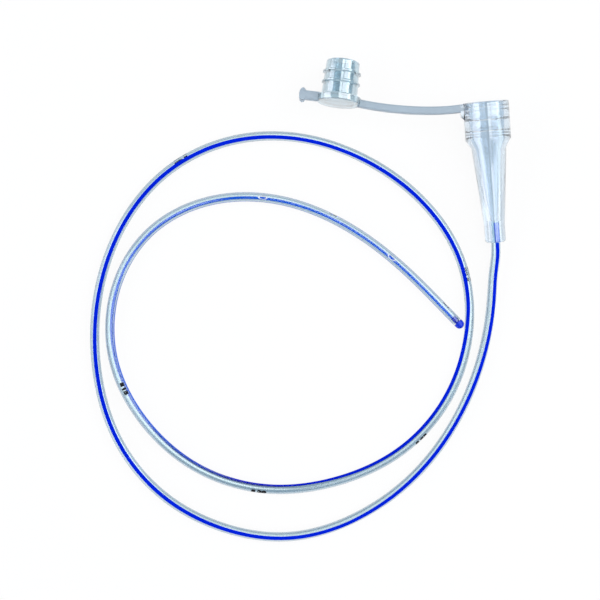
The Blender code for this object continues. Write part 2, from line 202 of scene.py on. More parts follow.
# Soft boxes: bounds of the direction to them, in X and in Y, then colour and strength
SOFT_BOXES = (
    (0.00, 0.22, -0.65, 0.55, (0.95, 0.98, 1.00), 2.6),
    (0.22, 0.72, -0.65, 0.55, (0.90, 0.93, 1.00), 1.1),
    (0.72, 0.88, -0.65, 0.55, (0.88, 1.00, 1.00), 2.8),
    (-0.97, -0.65, -0.65, 0.55, (0.93, 0.94, 1.00), 2.6),
)
# For all of them: how soft their edges are, and the bounds of the direction in Z
BOX_EDGE = 0.06
ABOVE_HORIZON = (0.0, 2.0)
ROOM_COLOUR = (0.15, 0.16, 0.18)

# Table and lamp
FLOOR_SIZE = 4.0
FLOOR_DROP = 0.00005
FLOOR_COLOUR = (0.9, 0.9, 0.9)
FLOOR_GLOW_SEEN = 0.93
FLOOR_GLOW_THROUGH = 0.8
LAMP_PLACE = (0.35, 0.05, 0.5)
LAMP_AIM = (-0.035, -0.04, 0.0)
LAMP_SIZE = 0.5
LAMP_POWER = 1.0

# Curves, meshes and materials
SPLINE_POINTS = 4000
MERGE_DISTANCE = 1e-7
SHARP_ANGLE = math.radians(35.0)
PVC_IOR = 1.53
NOISE_DETAIL = 3.0
RELIEF_FINENESS = 3.0


def add_camera():
    """The photograph's view."""
    data = bpy.data.cameras.new("camera")
    data.angle = CAMERA_ANGLE
    data.clip_start = CAMERA_NEAR
    camera = bpy.data.objects.new("camera", data)
    camera.location = CAMERA_PLACE
    camera.rotation_euler = (0.0, 0.0, CAMERA_TURN)
    bpy.context.scene.collection.objects.link(camera)
    bpy.context.scene.camera = camera


def finish_mesh(bm, name):
    """Turn a bmesh into an object in the scene, with its faces pointing out."""
    bmesh.ops.recalc_face_normals(bm, faces=bm.faces)
    mesh = bpy.data.meshes.new(name)
    bm.to_mesh(mesh)
    bm.free()
    obj = bpy.data.objects.new(name, mesh)
    bpy.context.scene.collection.objects.link(obj)
    return obj


def smooth(obj):
    """Smooth shading that keeps the real edges sharp."""
    obj.data.shade_smooth()
    obj.data.set_sharp_from_angle(angle=SHARP_ANGLE)


def combine(target, tools, operation):
    """Apply one Boolean after another to the target and remove the tools."""
    for tool in tools:
        step = target.modifiers.new(tool.name, "BOOLEAN")
        step.solver = "EXACT"
        step.operation = operation
        step.material_mode = "TRANSFER"
        step.object = tool
    evaluated = target.evaluated_get(bpy.context.evaluated_depsgraph_get())
    mesh = bpy.data.meshes.new_from_object(evaluated)
    target.modifiers.clear()
    target.data = mesh
    for tool in tools:
        bpy.data.objects.remove(tool, do_unlink=True)


def quarter(radius, height, rounding, start):
    """Profile points of a quarter-round edge about its own centre, from a start angle in degrees."""
    angles = [math.radians(start + 90.0 * i / ROUNDING_STEPS) for i in range(ROUNDING_STEPS + 1)]
    return [(radius + rounding * math.cos(a), height + rounding * math.sin(a)) for a in angles]


def turned(name, profile, closed, sides):
    """A solid turned about its own Z axis from (radius, height) points."""
    bm = bmesh.new()
    verts = [bm.verts.new((radius, 0.0, height)) for radius, height in profile]
    edges = [bm.edges.new(pair) for pair in zip(verts, verts[1:])]
    if closed:
        edges.append(bm.edges.new((verts[-1], verts[0])))
    bmesh.ops.spin(
        bm, geom=verts + edges, cent=(0, 0, 0), axis=(0, 0, 1), angle=math.tau, steps=sides
    )
    bmesh.ops.remove_doubles(bm, verts=bm.verts, dist=MERGE_DISTANCE)
    return finish_mesh(bm, name)


def skin(bm, rings):
    """Quads between each ring and the next."""
    for one, two in zip(rings, rings[1:]):
        for i in range(len(one)):
            bm.faces.new((one[i - 1], one[i], two[i], two[i - 1]))


def frames(path):
    """The centre, sideways and upward direction at each point of a path that stays nearly level."""
    ends = [path[0], *path, path[-1]]
    for before, here, after in zip(ends, path, ends[2:]):
        ahead = (after - before).normalized()
        side = ahead.cross(Vector((0, 0, 1))).normalized()
        yield here, side, side.cross(ahead)


def smooth_curve(points):
    """Points evenly spaced along the natural cubic spline through the given ones."""
    points = np.array(points)
    gaps = np.linalg.norm(np.diff(points, axis=0), axis=1)
    knots = np.concatenate(([0.0], np.cumsum(gaps)))
    size = len(points)
    matrix, target = np.eye(size), np.zeros(points.shape)
    for i in range(1, size - 1):
        matrix[i, i - 1:i + 2] = gaps[i - 1], 2 * (gaps[i - 1] + gaps[i]), gaps[i]
        slope_after = (points[i + 1] - points[i]) / gaps[i]
        slope_before = (points[i] - points[i - 1]) / gaps[i - 1]
        target[i] = 6 * (slope_after - slope_before)
    bend = np.linalg.solve(matrix, target)
    at = np.linspace(0.0, knots[-1], SPLINE_POINTS)
    i = np.clip(np.searchsorted(knots, at) - 1, 0, size - 2)
    gap = gaps[i][:, None]
    done, left = (at - knots[i])[:, None], (knots[i + 1] - at)[:, None]
    curve = (bend[i] * left**3 + bend[i + 1] * done**3) / (6 * gap)
    curve += (points[i] / gap - bend[i] * gap / 6) * left
    curve += (points[i + 1] / gap - bend[i + 1] * gap / 6) * done
    return curve


def distances(curve):
    """How far along a curve each of its points lies."""
    steps = np.linalg.norm(np.diff(curve, axis=0), axis=1)
    return np.concatenate(([0.0], np.cumsum(steps)))


def resting_height(profile, tilt):
    """How high a turned piece's start lies when its lowest points touch the table."""
    return max(r * math.cos(tilt) + along * math.sin(tilt) for r, along in profile)


def lying(x, y, height, turn, tilt):
    """Lays a turned piece down: its +Z heads from +Y towards +X by the turn and falls by the tilt."""
    level = Vector((math.sin(turn), math.cos(turn), 0.0)) * math.cos(tilt)
    axis = level - Vector((0.0, 0.0, math.sin(tilt)))
    side = Vector((math.cos(turn), -math.sin(turn), 0.0))
    turned_over = Matrix((side, axis.cross(side), axis)).transposed().to_4x4()
    return Matrix.Translation((x, y, height)) @ turned_over


def funnel_outside():
    """The funnel's outer profile from the mouth to the end of its tail."""
    return [
        (COLLAR_RADIUS - MOUTH_EDGE, 0.0),
        (COLLAR_RADIUS, MOUTH_EDGE),
        (COLLAR_RADIUS, COLLAR_LENGTH),
        (CONE_TOP_RADIUS, CONE_START),
        (TAIL_RADIUS, TAIL_START),
        *quarter(TAIL_RADIUS - TAIL_ROUNDING, FUNNEL_LENGTH - TAIL_ROUNDING, TAIL_ROUNDING, 0.0),
    ]


def ridge(place, height, width):
    """One raised ring inside the collar."""
    wall = MOUTH_RADIUS - COLLAR_BORE_TAPER * place / COLLAR_LENGTH
    half = width / 2
    return [(wall, place + half), (wall - height, place), (wall, place - half)]


def funnel_inside():
    """The bore's profile from the socket's end back to the mouth."""
    points = [
        (SOCKET_RADIUS, FUNNEL_LENGTH),
        (SOCKET_RADIUS, SOCKET_START),
        (BORE_RADIUS, SOCKET_START),
        (CONE_TOP_RADIUS - CONE_WALL, CONE_START),
        (MOUTH_RADIUS - COLLAR_BORE_TAPER, COLLAR_LENGTH),
    ]
    for shape in reversed(RIDGES):
        points += ridge(*shape)
    points += [(MOUTH_RADIUS, MOUTH_EDGE), (MOUTH_RADIUS + MOUTH_EDGE, 0.0)]
    return points


def rib(place):
    """One soft sealing rib round the plug."""
    at = FLANGE_THICKNESS + place
    wall = PLUG_RADIUS - PLUG_DRAFT * place / PLUG_HEIGHT
    half, crest = RIB_WIDTH / 2, RIB_CREST_WIDTH / 2
    return [(wall, at - half), (RIB_RADIUS, at - crest), (RIB_RADIUS, at + crest), (wall, at + half)]


def stopper_profile():
    """The stopper from the middle of its closed face, round the plug and down to the cavity's floor."""
    nose = PLUG_RADIUS - PLUG_DRAFT
    edge = FLANGE_RADIUS - FLANGE_ROUNDING
    points = [(0.0, 0.0)]
    for height, start in ((FLANGE_ROUNDING, -90.0), (FLANGE_THICKNESS - FLANGE_ROUNDING, 0.0)):
        points += quarter(edge, height, FLANGE_ROUNDING, start)
    points.append((PLUG_RADIUS, FLANGE_THICKNESS))
    for place in RIB_PLACES:
        points += rib(place)
    points += quarter(nose - NOSE_ROUNDING, STOPPER_LENGTH - NOSE_ROUNDING, NOSE_ROUNDING, 0.0)
    points += [
        (CAVITY_RADIUS, STOPPER_LENGTH),
        (CAVITY_RADIUS - CAVITY_DRAFT, FLANGE_THICKNESS + CAVITY_FLOOR),
        (0.0, FLANGE_THICKNESS + CAVITY_FLOOR),
    ]
    return points


def funnel_place():
    """The funnel rests on its collar and its tail, with the mouth tipped slightly up."""
    tail_end = FUNNEL_LENGTH - TAIL_ROUNDING
    tilt = math.atan2(COLLAR_RADIUS - TAIL_RADIUS, tail_end - COLLAR_LENGTH)
    height = resting_height(funnel_outside(), tilt)
    return lying(MOUTH_X, MOUTH_Y, height, FUNNEL_TURN, tilt), tilt


def stopper_place():
    """The stopper rests on its flange and its farther rib."""
    flange_back = FLANGE_THICKNESS - FLANGE_ROUNDING
    far_rib = FLANGE_THICKNESS + RIB_PLACES[-1] + RIB_CREST_WIDTH / 2
    tilt = math.atan2(FLANGE_RADIUS - RIB_RADIUS, far_rib - flange_back)
    height = resting_height(stopper_profile(), tilt)
    return lying(FLANGE_X, FLANGE_Y, height, STOPPER_TURN, tilt)


def rounded_section(across, over, edge):
    """A rectangle with quarter-round corners, as (across, over) points round it."""
    points = []
    for i, (sx, sy) in enumerate(((1, -1), (1, 1), (-1, 1), (-1, -1))):
        for step in range(EDGE_STEPS + 1):
            a = math.radians(-90.0 + 90.0 * i + 90.0 * step / EDGE_STEPS)
            x = sx * (across - edge) + edge * math.cos(a)
            y = sy * (over - edge) + edge * math.sin(a)
            points.append((x, y))
    return points


def flat_bar(name, path, thickness, width, surface):
    """A bar of rounded rectangular section, thickness across the path and width up."""
    section = rounded_section(thickness / 2, width / 2, STRAP_EDGE)
    bm = bmesh.new()
    rings = []
    for centre, side, up in frames(path):
        rings.append([bm.verts.new(centre + side * x + up * y) for x, y in section])
    skin(bm, rings)
    bm.faces.new(rings[0])
    bm.faces.new(rings[-1])
    bar = finish_mesh(bm, name)
    bar.data.materials.append(surface)
    return bar


def lug(funnel, surface):
    """The pad on the collar that the strap grows out of, with a far end that slopes at 45 degrees."""
    bm = bmesh.new()
    rings = []
    for stand in (-STRAP_ROOT, LUG_STAND):
        length = LUG_LENGTH + LUG_STAND - stand
        middle = Vector((COLLAR_RADIUS + stand, 0.0, LUG_START + length / 2))
        section = rounded_section(length / 2, STRAP_WIDTH / 2, STRAP_EDGE)
        rings.append([bm.verts.new(funnel @ (middle + Vector((0.0, y, x)))) for x, y in section])
    skin(bm, rings)
    bm.faces.new(rings[0])
    bm.faces.new(rings[-1])
    pad = finish_mesh(bm, "lug")
    pad.data.materials.append(surface)
    return pad


def tab_bead(stopper, surface):
    """The oval bead across the tab's end."""
    bm = bmesh.new()
    bmesh.ops.create_cone(bm, cap_ends=True, segments=TAB_BEAD_SIDES, radius1=0.5, radius2=0.5, depth=1.0)
    bmesh.ops.scale(bm, verts=bm.verts, vec=(TAB_BEAD_THICKNESS, TAB_BEAD_LENGTH, STRAP_WIDTH))
    middle = Vector((TAB_BEAD_THICKNESS / 2 - FLANGE_RADIUS - TAB_LENGTH, 0.0, TAB_PLACE))
    place = stopper @ Matrix.Translation(middle) @ Matrix.Rotation(math.pi / 2, 4, "X")
    bmesh.ops.transform(bm, verts=bm.verts, matrix=place)
    bead = finish_mesh(bm, "tab_bead")
    bead.data.materials.append(surface)
    return bead


def connector_bars(funnel, stopper, surface, matt_surface):
    """The pad on the collar, the strap, and the tab with the bead across its end."""
    start = stopper @ Vector((FLANGE_RADIUS - STRAP_ROOT, 0.0, STRAP_START))
    end = funnel @ Vector((COLLAR_RADIUS - STRAP_ROOT, 0.0, STRAP_END))
    leave = Vector((math.cos(STRAP_LEAVING_ANGLE), math.sin(STRAP_LEAVING_ANGLE), 0.0))
    arrive = Vector((math.cos(STRAP_ARRIVING_ANGLE), math.sin(STRAP_ARRIVING_ANGLE), 0.0))
    way = interpolate_bezier(
        start, start + leave * STRAP_REACH, end - arrive * STRAP_REACH, end, STRAP_STEPS
    )
    root = stopper @ Vector((STRAP_ROOT - FLANGE_RADIUS, 0.0, TAB_PLACE))
    tab_end = stopper @ Vector((TAB_BEAD_THICKNESS / 2 - FLANGE_RADIUS - TAB_LENGTH, 0.0, TAB_PLACE))
    return [
        lug(funnel, surface),
        flat_bar("strap", way, STRAP_THICKNESS, STRAP_WIDTH, matt_surface),
        flat_bar("tab_neck", [root, tab_end], TAB_THICKNESS, STRAP_WIDTH, matt_surface),
        tab_bead(stopper, matt_surface),
    ]


def tube_line():
    """The middle of the tube from its end in the socket to the tip, and the point where it comes out."""
    place, tilt = funnel_place()
    start = place @ Vector((0.0, 0.0, SOCKET_START + END_GAP))
    exit_point = place @ Vector((0.0, 0.0, FUNNEL_LENGTH))
    seat = start.lerp(exit_point, 0.5)
    plan = smooth_curve([start.xy, seat.xy, exit_point.xy, *ROUTE])
    run = distances(plan) - (exit_point - start).xy.length
    # A parabola leaves the funnel at its tilt and meets the table flat
    drop = exit_point.z - TUBE_RADIUS
    landing = 2 * drop / math.tan(tilt)
    falling = TUBE_RADIUS + drop * np.clip(1 - run / landing, 0.0, None)**2
    straight = exit_point.z - run * math.tan(tilt)
    height = np.where(run < 0.0, straight, falling)
    return np.column_stack((plan, height)), exit_point


def along(line, places):
    """The points of a line at some distances along it."""
    run = distances(line)
    return [Vector(p) for p in zip(*(np.interp(places, run, axis) for axis in line.T))]


def even_steps(start, end, step):
    """Distances from start to end, a step or a little less apart."""
    return np.linspace(start, end, math.ceil((end - start) / step) + 1)


def turn_at(from_tip):
    """The blue line's angle from the top at a distance from the tip, in radians."""
    places, turns = zip(*LINE_TURNS)
    return math.radians(float(np.interp(from_tip, places, turns)))


def on_tube(centre, side, up, radius, turn):
    """A point round the tube, turned from the top towards the coil's outside."""
    return centre + up * (radius * math.cos(turn)) - side * (radius * math.sin(turn))


def eye_cutter(line, place, turn, surface):
    """An oval punch through one wall of the tube, turned from the top towards the left-hand side."""
    centre, ahead = along(line, [place, place + EYE_WIDTH])
    ahead = (ahead - centre).normalized()
    side = ahead.cross(Vector((0, 0, 1))).normalized()
    outward = Matrix.Rotation(-turn, 3, ahead) @ side.cross(ahead)
    upright = Matrix((ahead, outward.cross(ahead), outward)).transposed().to_4x4()
    bm = bmesh.new()
    spread = EYE_BEVEL / (TUBE_RADIUS - BORE_RADIUS)
    narrow = 0.5 * (1.0 - spread * (TUBE_RADIUS - PUNCH_STOP))
    wide = 0.5 * (1.0 + spread * (TUBE_RADIUS + PUNCH_STOP))
    bmesh.ops.create_cone(
        bm, cap_ends=True, segments=EYE_SEGMENTS, radius1=narrow, radius2=wide, depth=2 * TUBE_RADIUS
    )
    bmesh.ops.scale(bm, verts=bm.verts, vec=(EYE_LENGTH, EYE_WIDTH, 1.0))
    lift = Matrix.Translation(outward * (TUBE_RADIUS + PUNCH_STOP))
    bmesh.ops.transform(bm, verts=bm.verts, matrix=lift @ Matrix.Translation(centre) @ upright)
    cutter = finish_mesh(bm, "eye_cutter")
    cutter.data.materials.append(surface)
    return cutter


def painted_wall_shade(angle, line_turn):
    """How much painted shade darkens the wall at an angle round the tube: along its sides, less towards
    the line.
    """
    lean = float(np.interp(math.degrees(abs(line_turn)), *zip(*PAINTED_SHADE_LEANS)))
    middle = math.copysign(math.radians(lean), line_turn)
    away = math.degrees(abs(math.remainder(angle - middle, math.tau)))
    return float(np.interp(away, *zip(*PAINTED_WALL_SHADES)))


def tube_wall(bm, path, turns, radius):
    """Rings round the tube's middle that carry the wall's painted shade, with none where a turn is
    missing.
    """
    painted_light_and_shade_layer = bm.verts.layers.float[PAINTED_LIGHT_AND_SHADE_NAME]
    angles = [math.tau * i / TUBE_SIDES for i in range(TUBE_SIDES)]
    rings = []
    for turn, (centre, side, up) in zip(turns, frames(path)):
        ring = [bm.verts.new(on_tube(centre, side, up, radius, a)) for a in angles]
        for vert, angle in zip(ring, angles):
            vert[painted_light_and_shade_layer] = 0.0 if turn is None else painted_wall_shade(angle, turn)
        rings.append(ring)
    skin(bm, rings)
    return rings


def make_tube(line, surface, cut_surface):
    """The extruded tube with its four punched eyes, and the points that its middle follows."""
    total = distances(line)[-1]
    places = even_steps(0.0, total - TIP_LENGTH - END_GAP, RING_STEP)
    path = along(line, places)
    turns = [turn_at(total - place) if place > SOCKET_DEPTH else None for place in places]
    bm = bmesh.new()
    bm.verts.layers.float.new(PAINTED_LIGHT_AND_SHADE_NAME)
    outside, inside = (tube_wall(bm, path, turns, radius) for radius in (TUBE_RADIUS, BORE_RADIUS))
    skin(bm, (outside[0], inside[0]))
    skin(bm, (outside[-1], inside[-1]))
    tube = finish_mesh(bm, "tube")
    tube.data.materials.append(surface)
    eyes = []
    for i in range(EYE_COUNT):
        place = total - FIRST_EYE_FROM_TIP - i * EYE_PITCH
        eyes.append(eye_cutter(line, place, EYE_TURNS[i % len(EYE_TURNS)], cut_surface))
    combine(tube, eyes, "DIFFERENCE")
    smooth(tube)
    return tube, path


def make_line(line, surface):
    """The blue line in the wall, flush with the outside but for where it runs underneath."""
    total = distances(line)[-1]
    places = even_steps(END_GAP, total - TIP_LENGTH - 2 * END_GAP, RING_STEP)
    spread = np.linspace(-1.0, 1.0, LINE_STEPS + 1)
    bm = bmesh.new()
    painted_light_and_shade_layer = bm.verts.layers.float.new(PAINTED_LIGHT_AND_SHADE_NAME)
    rings = []
    for place, (centre, side, up) in zip(places, frames(along(line, places))):
        turn = turn_at(total - place)
        sunk = float(np.interp(math.cos(turn), LINE_SINKS, (1.0, 0.0)))
        seated = float(np.interp(place, (SOCKET_DEPTH - END_GAP, SOCKET_DEPTH), (1.0, 0.0)))
        reach = LINE_FLUSH + sunk * (LINE_OUTER - LINE_FLUSH)
        reach += seated * (LINE_SEATED - reach)
        half = math.radians(float(np.interp(math.cos(turn), *zip(*LINE_HALF_ANGLES))))
        outer = [on_tube(centre, side, up, reach, turn + half * a) for a in spread]
        inner = [on_tube(centre, side, up, LINE_INNER, turn - half * a) for a in spread]
        rings.append([bm.verts.new(p) for p in outer + inner])
        # How much painted light the line gets: where it runs underneath and where it sits in the socket
        for vert in rings[-1]:
            vert[painted_light_and_shade_layer] = max(sunk, seated)
    skin(bm, rings)
    bm.faces.new(rings[0])
    bm.faces.new(rings[-1])
    piece = finish_mesh(bm, "blue_line")
    piece.data.materials.append(surface)
    smooth(piece)
    return piece


def mark_outline(number):
    """A flat square and number, in metres, from the square's near edge: a mesh of small faces."""
    text = bpy.data.curves.new("mark_text", "FONT")
    text.body = number
    text.offset = MARK_WEIGHT
    text.space_character = MARK_SPACING
    text.size = 1.0
    obj = bpy.data.objects.new("mark_text", text)
    bpy.context.scene.collection.objects.link(obj)
    mesh = bpy.data.meshes.new_from_object(obj.evaluated_get(bpy.context.evaluated_depsgraph_get()))
    bpy.data.objects.remove(obj, do_unlink=True)
    bm = bmesh.new()
    bm.from_mesh(mesh)
    low = [min(v.co[i] for v in bm.verts) for i in (0, 1)]
    high = max(v.co.y for v in bm.verts)
    scale = MARK_HEIGHT / (high - low[1])
    for vert in bm.verts:
        vert.co.x = (vert.co.x - low[0]) * scale * MARK_STRETCH + MARK_SQUARE + MARK_GAP
        vert.co.y = (vert.co.y - low[1]) * scale - MARK_HEIGHT / 2
    half = MARK_SQUARE / 2
    corners = ((0, -half, 0), (2 * half, -half, 0), (2 * half, half, 0), (0, half, 0))
    bm.faces.new([bm.verts.new(p) for p in corners])
    bmesh.ops.remove_doubles(bm, verts=bm.verts, dist=MERGE_DISTANCE)
    for i in range(1, MARK_SLICES):
        height = MARK_HEIGHT * (i / MARK_SLICES - 0.5)
        everything = bm.verts[:] + bm.edges[:] + bm.faces[:]
        bmesh.ops.bisect_plane(bm, geom=everything, plane_co=(0, height, 0), plane_no=(0, 1, 0))
    bmesh.ops.triangulate(bm, faces=bm.faces)
    return bm


def wrap_mark(whole, flat, line, start, turn):
    """Adds a flat mark to the whole mesh as a thin layer of ink round the tube."""
    flat.verts.index_update()
    places = [start - v.co.x for v in flat.verts]
    behind = along(line, [p - RING_STEP / 2 for p in places])
    ahead = along(line, [p + RING_STEP / 2 for p in places])
    layers = []
    for radius in (TUBE_RADIUS, TUBE_RADIUS + MARK_RISE):
        layer = []
        for vert, one, two in zip(flat.verts, behind, ahead):
            forward = (two - one).normalized()
            side = forward.cross(Vector((0, 0, 1))).normalized()
            angle = turn - vert.co.y / TUBE_RADIUS
            point = on_tube(one.lerp(two, 0.5), side, side.cross(forward), radius, angle)
            layer.append(whole.verts.new(point))
        layers.append(layer)
    under, over = layers
    for face in flat.faces:
        ids = [v.index for v in face.verts]
        whole.faces.new([over[i] for i in ids])
        whole.faces.new([under[i] for i in reversed(ids)])
    for edge in flat.edges:
        if edge.is_boundary:
            i, j = (v.index for v in edge.verts)
            whole.faces.new((under[i], under[j], over[j], over[i]))


def make_marks(line, surface):
    """The printed depth marks, wrapped on the outside of the tube."""
    total = distances(line)[-1]
    whole = bmesh.new()
    for from_tip, number, turned_by in MARKS:
        flat = mark_outline(number)
        wrap_mark(whole, flat, line, total - from_tip, math.radians(turned_by))
        flat.free()
    piece = finish_mesh(whole, "depth_marks")
    piece.data.materials.append(surface)
    smooth(piece)
    return piece


def make_tip(line, surface):
    """The rounded blue end with the spigot that holds it in the bore."""
    dome = quarter(0.0, TIP_STRAIGHT, TUBE_RADIUS, 0.0)
    dome[-1] = (0.0, TIP_LENGTH)
    spigot = BORE_RADIUS - SEAT_CLEARANCE
    profile = [(0.0, -SPIGOT_LENGTH), (spigot, -SPIGOT_LENGTH), (spigot, 0.0), (TUBE_RADIUS, 0.0), *dome]
    tip = turned("rounded_tip", profile, False, TIP_SIDES)
    total = distances(line)[-1]
    shoulder, end = along(line, [total - TIP_LENGTH, total])
    turn = Vector((0, 0, 1)).rotation_difference((end - shoulder).normalized()).to_matrix().to_4x4()
    tip.data.transform(Matrix.Translation(shoulder) @ turn)
    tip.data.materials.append(surface)
    smooth(tip)
    return tip


def make_connector(surface, plug_surface, matt_surface):
    """The funnel, strap, stopper and tab as one moulding."""
    place, _ = funnel_place()
    stopper = stopper_place()
    funnel = turned("connector", funnel_outside() + funnel_inside(), True, TURNED_SIDES)
    funnel.data.transform(place)
    funnel.data.materials.append(surface)
    plug = turned("stopper", stopper_profile(), False, TURNED_SIDES)
    plug.data.transform(stopper)
    plug.data.materials.append(plug_surface)
    combine(funnel, [*connector_bars(place, stopper, surface, matt_surface), plug], "UNION")
    smooth(funnel)
    return funnel


def principled(name, colour, **values):
    """A material whose constant values sit on the shader's own sockets."""
    made = bpy.data.materials.new(name)
    made.use_nodes = True
    shader = made.node_tree.nodes["Principled BSDF"]
    shader.inputs["Base Color"].default_value = (*colour, 1.0)
    for socket, value in values.items():
        shader.inputs[socket.replace("_", " ")].default_value = value
    return made


def noise(made, scale):
    """A noise pattern fixed to the piece."""
    nodes, links = made.node_tree.nodes, made.node_tree.links
    place = nodes.new("ShaderNodeTexCoord")
    pattern = nodes.new("ShaderNodeTexNoise")
    pattern.inputs["Scale"].default_value = scale
    pattern.inputs["Detail"].default_value = NOISE_DETAIL
    links.new(place.outputs["Object"], pattern.inputs["Vector"])
    return pattern.outputs["Fac"]


def uneven(made, roughness, colours, scale, bump, depth):
    """Lets a noise drive roughness, colour and a shallow bump."""
    nodes, links = made.node_tree.nodes, made.node_tree.links
    shader = nodes["Principled BSDF"]
    pattern = noise(made, scale)
    spread = nodes.new("ShaderNodeMapRange")
    spread.inputs["To Min"].default_value = roughness[0]
    spread.inputs["To Max"].default_value = roughness[1]
    links.new(pattern, spread.inputs["Value"])
    links.new(spread.outputs["Result"], shader.inputs["Roughness"])
    ramp = nodes.new("ShaderNodeValToRGB")
    for stop, colour in zip(ramp.color_ramp.elements, colours):
        stop.color = (*colour, 1.0)
    links.new(pattern, ramp.inputs["Fac"])
    links.new(ramp.outputs["Color"], shader.inputs["Base Color"])
    relief = nodes.new("ShaderNodeBump")
    relief.inputs["Strength"].default_value = bump
    relief.inputs["Distance"].default_value = depth
    links.new(noise(made, scale * RELIEF_FINENESS), relief.inputs["Height"])
    links.new(relief.outputs["Normal"], shader.inputs["Normal"])
    return made


def paint_light_and_shade(made, blend, tint, socket):
    """Painted light and shade: blends the base colour with a tint by the amount in the mesh, for one of
    the shader's sockets.
    """
    nodes, links = made.node_tree.nodes, made.node_tree.links
    shader = nodes["Principled BSDF"]
    amount = nodes.new("ShaderNodeAttribute")
    amount.attribute_name = PAINTED_LIGHT_AND_SHADE_NAME
    mix = nodes.new("ShaderNodeMix")
    mix.data_type = "RGBA"
    mix.blend_type = blend
    factor, plain, other = (s for s in mix.inputs if s.enabled)
    other.default_value = (*tint, 1.0)
    links.new(amount.outputs["Fac"], factor)
    links.new(shader.inputs["Base Color"].links[0].from_socket, plain)
    links.new(next(s for s in mix.outputs if s.enabled), shader.inputs[socket])


def clear_pvc():
    """The tube's wall, with painted shade: darker where the mesh says so."""
    made = principled("clear_soft_pvc", (0.86, 0.97, 1.0), IOR=PVC_IOR, Transmission_Weight=1.0)
    colours = ((0.84, 0.96, 0.99), (0.88, 0.98, 1.0))
    uneven(made, roughness=(0.01, 0.03), colours=colours, scale=350.0, bump=0.02, depth=0.00001)
    # Painted shade: the wall is darkened in grey bands along the tube's sides
    paint_light_and_shade(made, "MULTIPLY", PAINTED_SHADE_TINT, "Base Color")
    return made


def punched_edge():
    """The whitened edges of the eyes."""
    made = principled("punched_edge", (0.95, 0.97, 1.0), IOR=PVC_IOR, Transmission_Weight=0.35)
    colours = ((0.9, 0.93, 0.98), (0.98, 0.99, 1.0))
    return uneven(made, roughness=(0.45, 0.7), colours=colours, scale=1500.0, bump=0.3, depth=0.00003)


def moulded_pvc():
    """The funnel."""
    made = principled(
        "moulded_soft_pvc", (0.74, 0.84, 0.93), IOR=PVC_IOR, Transmission_Weight=0.95,
        Coat_Weight=1.0, Coat_IOR=1.7, Coat_Roughness=0.05,
    )
    colours = ((0.72, 0.83, 0.92), (0.76, 0.85, 0.94))
    return uneven(made, roughness=(0.02, 0.08), colours=colours, scale=220.0, bump=0.1, depth=0.00003)


def plug_pvc():
    """The stopper, which reflects more than the funnel."""
    made = principled(
        "plug_soft_pvc", (0.52, 0.69, 0.77), IOR=PVC_IOR, Transmission_Weight=0.85,
        Coat_Weight=1.0, Coat_IOR=2.3, Coat_Roughness=0.06,
    )
    colours = ((0.49, 0.67, 0.76), (0.55, 0.71, 0.79))
    return uneven(made, roughness=(0.04, 0.1), colours=colours, scale=220.0, bump=0.1, depth=0.00003)


def matt_pvc():
    """The strap and the tab."""
    made = principled("matt_soft_pvc", (0.5, 0.6, 0.68), IOR=PVC_IOR, Transmission_Weight=0.6)
    colours = ((0.46, 0.56, 0.65), (0.53, 0.63, 0.71))
    return uneven(made, roughness=(0.35, 0.5), colours=colours, scale=400.0, bump=0.25, depth=0.00005)


def line_blue():
    """The blue line with a painted glow, lighter and glowing more where the mesh says that it runs
    underneath.
    """
    # Painted glow: the line's emission, stronger and lighter where it runs underneath
    made = principled(
        "blue_line_pvc", (0.0, 0.02, 0.6), IOR=PVC_IOR, Specular_IOR_Level=0.0, Emission_Strength=0.36
    )
    colours = ((0.0, 0.008, 0.4), (0.001, 0.016, 0.52))
    uneven(made, roughness=(0.3, 0.45), colours=colours, scale=500.0, bump=0.05, depth=0.00001)
    # Painted light: a lighter colour and a stronger glow where the line runs underneath or sits in the
    # socket
    paint_light_and_shade(made, "MIX", PAINTED_SUNK_GLOW, "Emission Color")
    paint_light_and_shade(made, "MIX", PAINTED_SUNK_BLUE, "Base Color")
    return made


def tip_blue():
    """The closed tip."""
    made = principled("blue_tip_pvc", (0.004, 0.03, 0.6), IOR=PVC_IOR, Specular_IOR_Level=0.3)
    colours = ((0.003, 0.025, 0.55), (0.006, 0.04, 0.66))
    return uneven(made, roughness=(0.2, 0.3), colours=colours, scale=900.0, bump=0.15, depth=0.00003)


def black_ink():
    """The printed marks."""
    made = principled("black_ink", (0.005, 0.005, 0.006), Specular_IOR_Level=0.1)
    colours = ((0.006, 0.006, 0.008), (0.02, 0.02, 0.024))
    return uneven(made, roughness=(0.4, 0.6), colours=colours, scale=3000.0, bump=0.2, depth=0.00001)


def path_mix(made, rays, seen, unseen):
    """One shader for the named kinds of ray and another for the rest."""
    nodes, links = made.nodes, made.links
    light = nodes.new("ShaderNodeLightPath")
    total = light.outputs[rays[0]]
    for ray in rays[1:]:
        add = nodes.new("ShaderNodeMath")
        add.operation = "MAXIMUM"
        links.new(total, add.inputs[0])
        links.new(light.outputs[ray], add.inputs[1])
        total = add.outputs[0]
    mix = nodes.new("ShaderNodeMixShader")
    links.new(total, mix.inputs["Fac"])
    links.new(unseen, mix.inputs[1])
    links.new(seen, mix.inputs[2])
    return mix.outputs[0]


